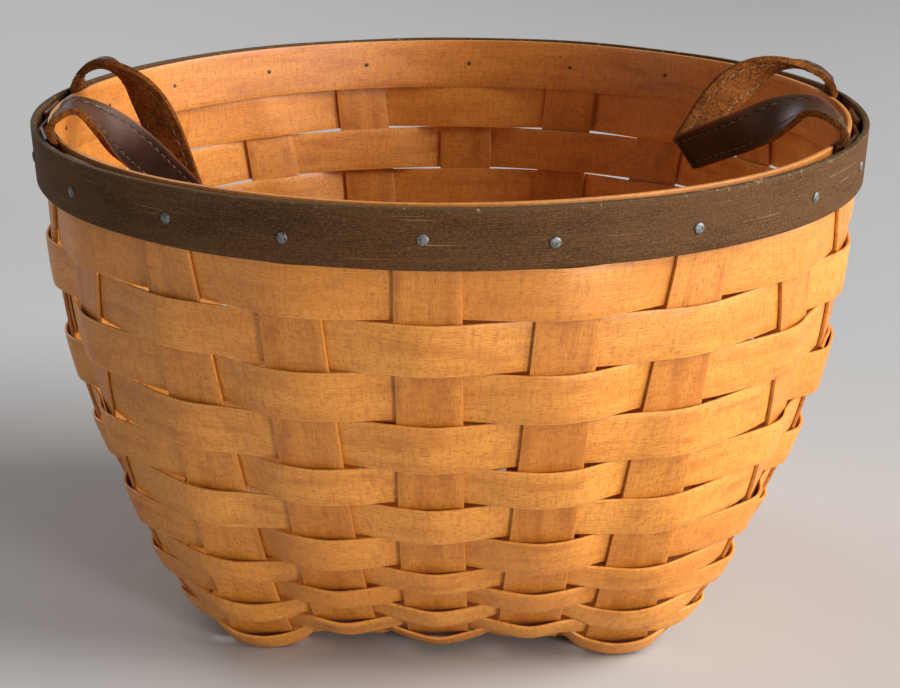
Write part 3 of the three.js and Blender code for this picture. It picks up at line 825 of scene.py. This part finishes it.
def model_stitch():
    deselect_all()
    bpy.ops.mesh.primitive_uv_sphere_add(segments=8, ring_count=6, radius=0.5)
    piece = name_piece(bpy.context.object, "stitch_model")
    bpy.ops.object.mode_set(mode="EDIT")
    bpy.ops.transform.resize(value=(STITCH_LENGTH, STITCH_WIDTH, STITCH_WIDTH * STITCH_FLATNESS))
    bpy.ops.object.mode_set(mode="OBJECT")
    bpy.ops.object.shade_smooth()
    return piece


stitch_model = model_stitch()
threads = {}
for side, route in ear_routes.items():
    deselect_all()
    copies = []
    for place in stitch_places(route):
        copy = stitch_model.copy()
        copy.data = stitch_model.data.copy()
        copy.data.transform(place)
        bpy.context.scene.collection.objects.link(copy)
        copy.select_set(True)
        copies.append(copy)
    bpy.context.view_layer.objects.active = copies[0]
    bpy.ops.object.join()
    threads[side] = name_piece(bpy.context.object, f"{side}_ear_stitches")
    print(side, "stitches:", len(copies))
bpy.data.objects.remove(stitch_model)

for side in ear_routes:
    blend_ear(straps[side], side)
    blend_ear(threads[side], side)

# %% [markdown]
# ## Materials
# Shader maths reads best as ordinary sums. Wire wraps one socket and overloads the operators, and
# Paint makes the nodes of one material. Its set method gives a plain number to the shader's own
# socket and links anything that varies.

# %% A small language for materials


class Wire:
    """A shader socket that takes part in sums."""

    def __init__(self, paint, socket):
        self.paint = paint
        self.socket = socket

    def math(self, operation, *values):
        return self.paint.node("ShaderNodeMath", {"operation": operation}, dict(enumerate(values)))

    def __add__(self, other):
        return self.math("ADD", self, other)

    def __sub__(self, other):
        return self.math("SUBTRACT", self, other)

    def __rsub__(self, other):
        return self.math("SUBTRACT", other, self)

    def __mul__(self, other):
        return self.math("MULTIPLY", self, other)

    def distance(self, other):
        return self.math("ABSOLUTE", self - other)

    __radd__ = __add__
    __rmul__ = __mul__

    def between(self, low, high):
        """0 below low, 1 above high and smooth between them."""
        settings = {"interpolation_type": "SMOOTHSTEP"}
        values = {"Value": self, "From Min": low, "From Max": high}
        return self.paint.node("ShaderNodeMapRange", settings, values)


class Paint:
    """One material, built up node by node."""

    def __init__(self, name):
        self.material = bpy.data.materials.new(name)
        self.material.use_nodes = True
        self.tree = self.material.node_tree
        self.shader = self.tree.nodes["Principled BSDF"]

    def feed(self, socket, value):
        if isinstance(value, Wire):
            self.tree.links.new(value.socket, socket)
        else:
            socket.default_value = value

    def node(self, kind, settings=None, values=None, output=0):
        made = self.tree.nodes.new(kind)
        for name, value in (settings or {}).items():
            setattr(made, name, value)
        for name, value in (values or {}).items():
            self.feed(made.inputs[name], value)
        return Wire(self, made.outputs[output])

    def along_grain(self, length, width):
        """Coordinates in which one unit is this long along the strip and this wide across it."""
        uv = self.node("ShaderNodeUVMap", {"uv_map": "UVMap"})
        return self.node("ShaderNodeMapping", None, {"Vector": uv, "Scale": (1 / length, 1 / width, 1)})

    def in_frame(self, size):
        """Object coordinates in which one unit is this size."""
        spot = self.node("ShaderNodeTexCoord", output="Object")
        return self.node("ShaderNodeMapping", None, {"Vector": spot, "Scale": (1 / size,) * 3})

    def noise(self, vector, detail=4.0, roughness=0.55, distortion=0.0):
        values = {"Vector": vector, "Scale": 1.0, "Detail": detail}
        values.update({"Roughness": roughness, "Distortion": distortion})
        return self.node("ShaderNodeTexNoise", None, values)

    def attribute(self, name):
        return self.node("ShaderNodeAttribute", {"attribute_name": name}, output="Fac")

    def mix(self, factor, a, b):
        """Colour a where factor is 0 and b where it is 1. Sockets 6, 7 and 2 are the colour ones."""
        return self.node("ShaderNodeMix", {"data_type": "RGBA"}, {0: factor, 6: a, 7: b}, output=2)

    def along(self, axis, size):
        """Place along one axis of the frame, where size is one unit."""
        spot = self.node("ShaderNodeTexCoord", output="Object")
        split = self.node("ShaderNodeSeparateXYZ", None, {"Vector": spot}, output=axis)
        return split * (1 / size)

    def bump(self, height, depth, strength=1.0):
        values = {"Height": height, "Distance": depth, "Strength": strength}
        normal = self.node("ShaderNodeBump", None, values)
        self.feed(self.shader.inputs["Normal"], normal)

    def set(self, **values):
        for name, value in values.items():
            self.feed(self.shader.inputs[name.replace("_", " ")], value)


def colour(red, green, blue):
    return (red, green, blue, 1.0)


# %% [markdown]
# ## Bare wood
# The long edges are lightened as a painted highlight on their bevels.
# The splints are a pale close-grained wood that has aged to honey. Its figure runs along the
# strip: broad soft bands, fine streaks, and short dark flecks where the pores are cut. Every
# pattern is a noise stretched along the strip's own length, which its UV map measures in metres.
# Little light gets in between the bands, so dark_top shades the wood just below the rim's top, from
# 9 mm down to full strength at 3 mm.

# %% Bare wood
SHADE_STARTS = 9
SHADE_FULL = 3
SHADED_WOOD = colour(0.045, 0.017, 0.006)


def bare_wood(name, light, middle, dark, edge, dark_top=0.0):
    wood = Paint(name)
    broad = wood.noise(wood.along_grain(60 * MM, 9 * MM), detail=3, distortion=0.4)
    streaks = wood.noise(wood.along_grain(14 * MM, 0.9 * MM), detail=5, roughness=0.65)
    fine = wood.noise(wood.along_grain(4 * MM, 0.4 * MM), detail=3, roughness=0.6)
    flecks = wood.noise(wood.along_grain(3 * MM, 0.6 * MM), detail=2)
    dashes = wood.noise(wood.along_grain(5 * MM, 0.65 * MM), detail=1)
    patches = wood.noise(wood.along_grain(16 * MM, 10 * MM), detail=4)
    ripple = wood.noise(wood.along_grain(1.8 * MM, 7 * MM), detail=3, distortion=0.6)
    tone = wood.attribute("tone")
    figure = broad * 0.6 + streaks * 0.4 + tone * 0.09
    base = wood.mix(figure.between(0.35, 0.62), light, middle)
    smudge = (broad * 0.5 + patches * 0.5 + streaks * 0.12).between(0.56, 0.76)
    base = wood.mix(smudge * 0.5, base, dark)
    base = wood.mix((streaks * 0.5 + fine * 0.5).between(0.5, 0.66) * 0.4, base, dark)
    base = wood.mix(flecks.between(0.55, 0.68) * fine.between(0.3, 0.55) * 0.8, base, dark)
    base = wood.mix(dashes.between(0.64, 0.72) * 0.7, base, dark)
    base = wood.mix(ripple.between(0.45, 0.68) * 0.36, base, dark)
    # Painted highlight: the long edges are lightened towards the edge colour, as if their bevels catch
    # the light.
    base = wood.mix(wood.attribute("rim").between(0.9, 1.0) * 0.3, base, edge)
    height = wood.along("Z", MM)
    top = height.between(RIM_HEIGHT / MM - SHADE_STARTS, RIM_HEIGHT / MM - SHADE_FULL)
    base = wood.mix(top * dark_top, base, SHADED_WOOD)
    wood.set(Base_Color=base, Roughness=0.37 + fine * 0.18)
    wood.set(Specular_IOR_Level=0.5)
    wood.bump(streaks * 0.5 + fine * 0.6 + ripple * 0.5 - flecks * 0.5, 0.18 * MM, 0.7)
    return wood.material


splint_wood = bare_wood(
    "splint wood", colour(0.60, 0.222, 0.028), colour(0.50, 0.163, 0.016),
    colour(0.28, 0.070, 0.006), colour(0.62, 0.25, 0.048), dark_top=0.9,
)
weaver_wood = bare_wood(
    "weaver wood", colour(0.70, 0.280, 0.042), colour(0.60, 0.213, 0.026),
    colour(0.34, 0.094, 0.009), colour(0.72, 0.32, 0.072), dark_top=0.9,
)
band_wood = bare_wood(
    "inner band wood", colour(0.59, 0.220, 0.034), colour(0.49, 0.162, 0.022),
    colour(0.28, 0.074, 0.008), colour(0.62, 0.28, 0.070),
)
print("bare woods:", splint_wood.name, weaver_wood.name, band_wood.name)

# %% [markdown]
# ## Stained band
# The outer band is the same wood under a dark brown stain. Its fine grain shows as darker and
# lighter threads, handling has worn its top edge to a greyish green, and a few scratches along
# the grain let the pale wood through.

# %% Stained band


def stained_wood():
    stain = Paint("stained band wood")
    streaks = stain.noise(stain.along_grain(18 * MM, 0.6 * MM), detail=6, roughness=0.7)
    pores = stain.noise(stain.along_grain(2.2 * MM, 0.5 * MM), detail=3)
    cross = stain.noise(stain.along_grain(0.7 * MM, 3 * MM), detail=3)
    broad = stain.noise(stain.along_grain(70 * MM, 18 * MM), detail=3)
    figure = streaks * 0.45 + pores * 0.4 + cross * 0.25 + broad * 0.3
    deep, faded = colour(0.036, 0.0148, 0.0050), colour(0.135, 0.060, 0.020)
    base = stain.mix(figure.between(0.55, 0.88), deep, faded)
    base = stain.mix(broad.between(0.45, 0.7) * 0.5, base, colour(0.054, 0.024, 0.009))
    specks = stain.noise(stain.along_grain(1.6 * MM, 0.45 * MM), detail=2).between(0.59, 0.69)
    base = stain.mix(specks * 0.42, base, colour(0.30, 0.16, 0.06))
    lines = stain.noise(stain.along_grain(90 * MM, 0.6 * MM), detail=2).between(0.66, 0.72)
    where = stain.noise(stain.along_grain(40 * MM, 8 * MM), detail=2).between(0.48, 0.58)
    scratches = lines * where
    base = stain.mix(scratches * 0.8, base, colour(0.42, 0.23, 0.10))
    from_top = RIM_HEIGHT / MM - stain.along("Z", MM)
    worn = stain.noise(stain.in_frame(4 * MM), detail=5, roughness=0.7)
    edge = 1 - (from_top - worn * 1.8).between(-0.6, 0.5)
    base = stain.mix(edge * 0.7, base, colour(0.078, 0.048, 0.022))
    nicks = worn.between(0.6, 0.66) * (1 - from_top.between(0.8, 2.6))
    base = stain.mix(nicks * 0.7, base, colour(0.42, 0.26, 0.12))
    stain.set(Base_Color=base, Roughness=0.58 + streaks * 0.2)
    stain.set(Specular_IOR_Level=0.1)
    stain.bump(streaks + pores * 0.4 + cross * 0.3 - scratches * 0.6, 0.15 * MM, 0.6)
    return stain.material


band_stain = stained_wood()
print("stained wood:", band_stain.name)

# %% [markdown]
# ## Leather
# The smooth side of the strap is waxed and pebbled, browner where hands have rubbed it, and pressed
# in along the stitches. The flesh side is rough and orange-brown, and the cut edges are the same,
# only darker. The UV map hardly changes across a cut edge, and a pattern on it would be drawn out
# into stripes there, so the rough leather reads Object coordinates.

# %% Leather
STITCH_GROOVE = 0.63


def smooth_leather():
    hide = Paint("waxed leather")
    pebble = hide.node(
        "ShaderNodeTexVoronoi", {"feature": "SMOOTH_F1"},
        {"Vector": hide.along_grain(1.1 * MM, 1.0 * MM), "Scale": 1.0, "Smoothness": 0.6},
    )
    creases = hide.noise(hide.along_grain(5 * MM, 2 * MM), detail=5, roughness=0.65)
    rubbed = hide.noise(hide.in_frame(26 * MM), detail=3).between(0.42, 0.7)
    height = (hide.along("Z", MM) - RIM_HEIGHT / MM).between(-12, 12)
    side = hide.attribute("rim")
    groove = 1 - side.distance(STITCH_GROOVE).between(0.01, 0.09)
    base = hide.mix(rubbed * 0.5, colour(0.022, 0.0095, 0.0070), colour(0.070, 0.027, 0.014))
    base = hide.mix(height * 0.35, base, colour(0.115, 0.040, 0.011))
    base = hide.mix(groove * 0.75, base, colour(0.012, 0.005, 0.0035))
    base = hide.mix(side.between(0.84, 1.0) * 0.6, base, colour(0.15, 0.055, 0.022))
    base = hide.mix(creases.between(0.55, 0.8) * 0.3, base, colour(0.016, 0.006, 0.005))
    hide.set(Base_Color=base, Roughness=0.34 + creases * 0.2 + rubbed * 0.16)
    hide.set(Specular_IOR_Level=0.24)
    hide.bump(creases * 0.6 - pebble * 0.5 - groove * 0.9, 0.3 * MM, 0.7)
    return hide.material


def rough_leather(name, base_light, base_dark):
    hide = Paint(name)
    fibres = hide.noise(hide.in_frame(1.1 * MM), detail=6, roughness=0.75)
    clouds = hide.noise(hide.in_frame(7 * MM), detail=4)
    tufts = hide.noise(hide.in_frame(1.6 * MM), detail=5, roughness=0.7)
    base = hide.mix((fibres * 0.6 + clouds * 0.5).between(0.38, 0.72), base_light, base_dark)
    base = hide.mix(tufts.between(0.46, 0.64) * 0.7, base, colour(0.042, 0.013, 0.0045))
    base = hide.mix((1 - tufts).between(0.56, 0.70) * 0.35, base, colour(0.38, 0.145, 0.038))
    hide.set(Base_Color=base, Roughness=0.8 + fibres * 0.15)
    hide.set(Specular_IOR_Level=0.05)
    hide.bump(fibres + tufts * 1.4 + clouds * 0.4, 1.0 * MM, 1.0)
    return hide.material


leather_out = smooth_leather()
leather_in = rough_leather("rough leather", colour(0.27, 0.083, 0.014), colour(0.085, 0.024, 0.005))
leather_cut = rough_leather("cut leather", colour(0.15, 0.050, 0.014), colour(0.050, 0.016, 0.005))
print("leathers:", leather_out.name, leather_in.name, leather_cut.name)

# %% [markdown]
# ## Thread and steel
# The waxed thread is nearly as dark as the leather, with lighter plies here and there. The tacks
# are dull grey steel outside. Inside the basket their tips are as brown as old wood, so the steel
# fades out between the two bands.

# %% Thread and steel


def thread():
    twist = Paint("waxed thread")
    plies = twist.noise(twist.in_frame(0.5 * MM), detail=3)
    base = twist.mix(plies.between(0.48, 0.72), colour(0.046, 0.021, 0.010), colour(0.38, 0.21, 0.10))
    twist.set(Base_Color=base, Roughness=0.6 + plies * 0.1)
    twist.bump(plies, 0.1 * MM, 0.5)
    return twist.material


def tack_steel():
    steel = Paint("tack steel")
    dull = steel.noise(steel.in_frame(1.2 * MM), detail=5, roughness=0.65)
    base = steel.mix(dull.between(0.42, 0.62), colour(0.20, 0.205, 0.195), colour(0.055, 0.054, 0.049))
    x, y = steel.along("X", 1.0), steel.along("Y", 1.0)
    outside = (x * x + y * y).between(INNER_BAND_OUTSIDE**2, OUTER_BAND_INSIDE**2)
    base = steel.mix(outside, colour(0.045, 0.026, 0.014), base)
    steel.set(Base_Color=base, Metallic=outside * 0.6, Roughness=0.42 + dull * 0.25)
    steel.bump(dull, 0.12 * MM, 0.5)
    return steel.material


waxed_thread = thread()
dull_steel = tack_steel()
print("small pieces:", waxed_thread.name, dull_steel.name)

# %% [markdown]
# Each piece gets its material. Solidify has already given the faces of a strap their slots: its
# smooth side is first, its flesh side second and its cut edges third.

# %% Dress the pieces


def dress(piece, *materials):
    piece.data.materials.clear()
    for material in materials:
        piece.data.materials.append(material)


for piece in splints:
    dress(piece, splint_wood)
for piece in weavers:
    dress(piece, weaver_wood)
dress(bands[0], band_stain)
dress(bands[1], band_wood)
for piece in tacks:
    dress(piece, dull_steel)
for side in ear_routes:
    dress(threads[side], waxed_thread)
    faces = [face.material_index for face in straps[side].data.polygons]
    dress(straps[side], leather_out, leather_in, leather_cut)
    straps[side].data.polygons.foreach_set("material_index", faces)
    print(side, "strap faces by side:", [faces.count(n) for n in range(3)])

# %% [markdown]
# ## Studio
# The floor is a pale sheet with painted light on it: it is lighter on the left, to lift the basket's
# shadow there, warmer in front, as painted light thrown back from the basket, and painted darker far
# back. A large soft lamp on the right is the key. Low lamps in front and on the left fill the weave,
# one high at the back lights the inside of the rim, and the world gives an even grey light.

# %% Floor, lamps and world
FLOOR_SIZE = 30
FRONT_TO_BACK = (-0.9, 0.9)
LEFT_TO_RIGHT = (-0.6, 0.45)
# Painted light on the floor: the left is lighter to lift the basket's shadow, the front is warmer as
# light thrown back from the basket, and the back is painted darker.
FRONT_PAINTED_BOUNCE, BACK_PAINTED_SHADE = colour(0.46, 0.445, 0.42), colour(0.38, 0.38, 0.38)
LEFT_FRONT_SHADOW_LIFT, LEFT_BACK_SHADOW_LIFT = colour(0.72, 0.71, 0.70), colour(0.46, 0.46, 0.46)
LAMP_DISTANCE = 4.0
WORLD_STRENGTH = 0.24

deselect_all()
bpy.ops.mesh.primitive_plane_add(size=FLOOR_SIZE, location=(0, 0, 0))
floor = name_piece(bpy.context.object, "studio_floor")
sheet = Paint("pale floor")
behind = sheet.along("Y", 1.0).between(*FRONT_TO_BACK)
floor_with_painted_light = sheet.mix(behind, FRONT_PAINTED_BOUNCE, BACK_PAINTED_SHADE)
right = sheet.along("X", 1.0).between(*LEFT_TO_RIGHT)
left = sheet.mix(behind, LEFT_FRONT_SHADOW_LIFT, LEFT_BACK_SHADOW_LIFT)
floor_with_painted_light = sheet.mix(right, left, floor_with_painted_light)
sheet.set(Base_Color=floor_with_painted_light, Roughness=0.9)
sheet.set(Specular_IOR_Level=0.0)
dress(floor, sheet.material)


def soft_lamp(name, azimuth, elevation, size, watts):
    """A square lamp that looks at the middle of the basket, at so many degrees round and up."""
    lamp = bpy.data.lights.new(name, "AREA")
    lamp.size = size
    lamp.energy = watts
    holder = bpy.data.objects.new(name, lamp)
    bpy.context.scene.collection.objects.link(holder)
    a, e = math.radians(azimuth), math.radians(elevation)
    back = Vector((math.sin(a) * math.cos(e), -math.cos(a) * math.cos(e), math.sin(e)))
    holder.location = back * LAMP_DISTANCE + Vector((0, 0, RIM_HEIGHT / 2))
    holder.rotation_mode = "QUATERNION"
    holder.rotation_quaternion = back.to_track_quat("Z", "Y")


soft_lamp("key lamp", azimuth=84, elevation=28, size=3.2, watts=335)
soft_lamp("front lamp", azimuth=40, elevation=7, size=0.9, watts=98)
soft_lamp("left lamp", azimuth=-62, elevation=12, size=1.4, watts=14)
soft_lamp("back lamp", azimuth=-140, elevation=34, size=2.0, watts=55)

world = bpy.data.worlds.new("studio")
bpy.context.scene.world = world
world.use_nodes = True
background = world.node_tree.nodes["Background"]
background.inputs["Color"].default_value = colour(0.5, 0.5, 0.5)
background.inputs["Strength"].default_value = WORLD_STRENGTH
bpy.context.scene.view_settings.view_transform = "Standard"
print("lamps:", len(bpy.data.lights))

# %% [markdown]
# ## Camera
# A long lens looks slightly down on the basket from the front, a little to the right of its middle.

# %% Camera
CAMERA_DISTANCE = 5.2 * RIM_RADIUS
CAMERA_ABOVE_RIM = 1.0589 * RIM_RADIUS
CAMERA_PITCH = 0.309
CAMERA_TURN = math.radians(2.7)
LENS = 87.18

camera_data = bpy.data.cameras.new("camera")
camera_data.lens = LENS
camera = bpy.data.objects.new("camera", camera_data)
bpy.context.scene.collection.objects.link(camera)
camera.location = (
    CAMERA_DISTANCE * math.sin(CAMERA_TURN),
    -CAMERA_DISTANCE * math.cos(CAMERA_TURN),
    RIM_HEIGHT + CAMERA_ABOVE_RIM,
)
camera.rotation_euler = (math.pi / 2 - CAMERA_PITCH, 0, CAMERA_TURN)
bpy.context.scene.camera = camera
print("camera at", [round(v, 3) for v in camera.location])
